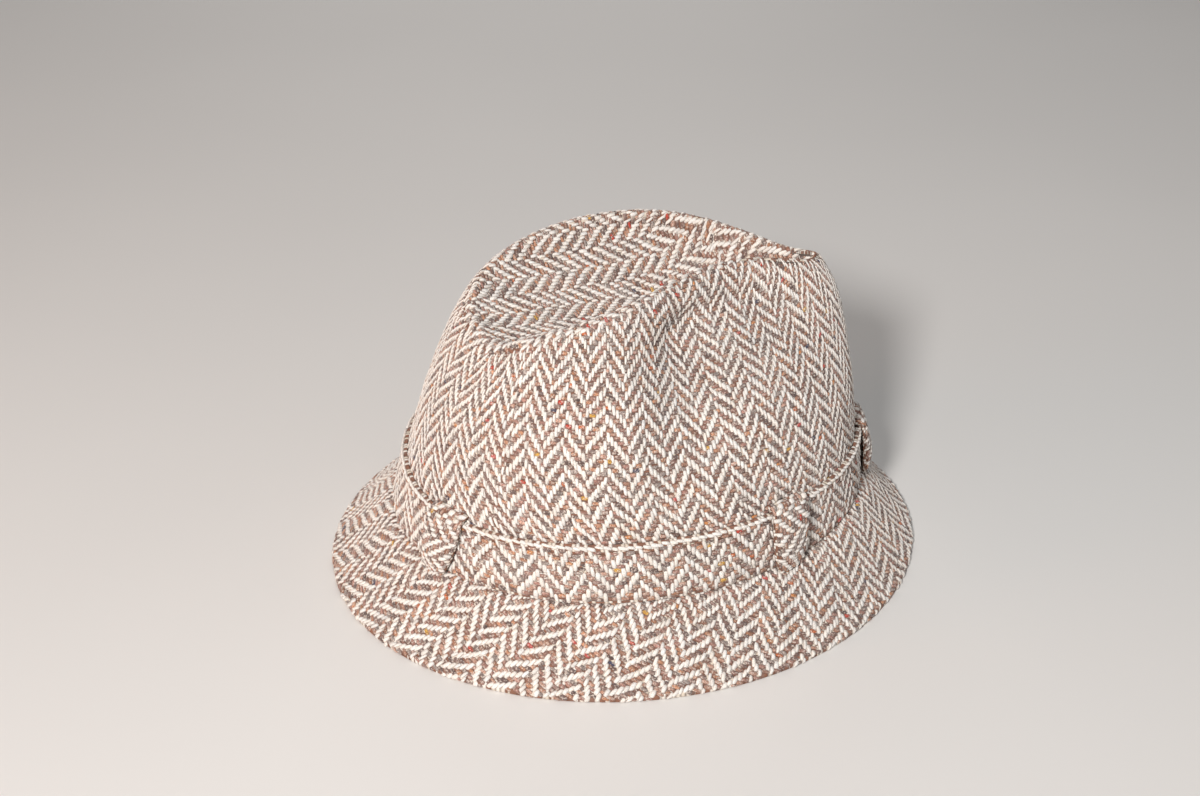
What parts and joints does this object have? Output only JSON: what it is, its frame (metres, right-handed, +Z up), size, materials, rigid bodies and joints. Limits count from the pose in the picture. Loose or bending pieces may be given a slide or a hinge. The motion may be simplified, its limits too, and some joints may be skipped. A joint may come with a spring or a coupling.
{
  "type": "tweed hat",
  "caption": "Soft herringbone tweed hat: pinched crown with a dented teardrop tip, a cloth band held by loops, and a short sloping brim that rests on its edge.",
  "frame": {"origin": "middle of the outer box at the surface that the brim's edge rests on", "axes": "+X to the hat's front, +Y to the wearer's left, +Z up"},
  "size_m": [0.264, 0.2316, 0.1372],
  "materials": {
    "side_cloth": "coarse herringbone tweed, cream and brown with coloured flecks",
    "tip_cloth": "coarse herringbone tweed, grain turned a quarter",
    "band_cloth": "coarse herringbone tweed, folded upper edge",
    "brim_cloth": "coarse herringbone tweed, double, rolled edge",
    "loop_cloth": "coarse herringbone tweed, grain turned a quarter"
  },
  "bodies": {
    "root": {"crown_base": "side_cloth", "crown_side": "side_cloth", "crown_tip": "tip_cloth", "band": "band_cloth", "brim": "brim_cloth", "loop_front": "loop_cloth", "loop_right": "loop_cloth", "loop_right_back": "loop_cloth", "loop_left_back": "loop_cloth", "loop_left": "loop_cloth"}
  },
  "joints": []
}
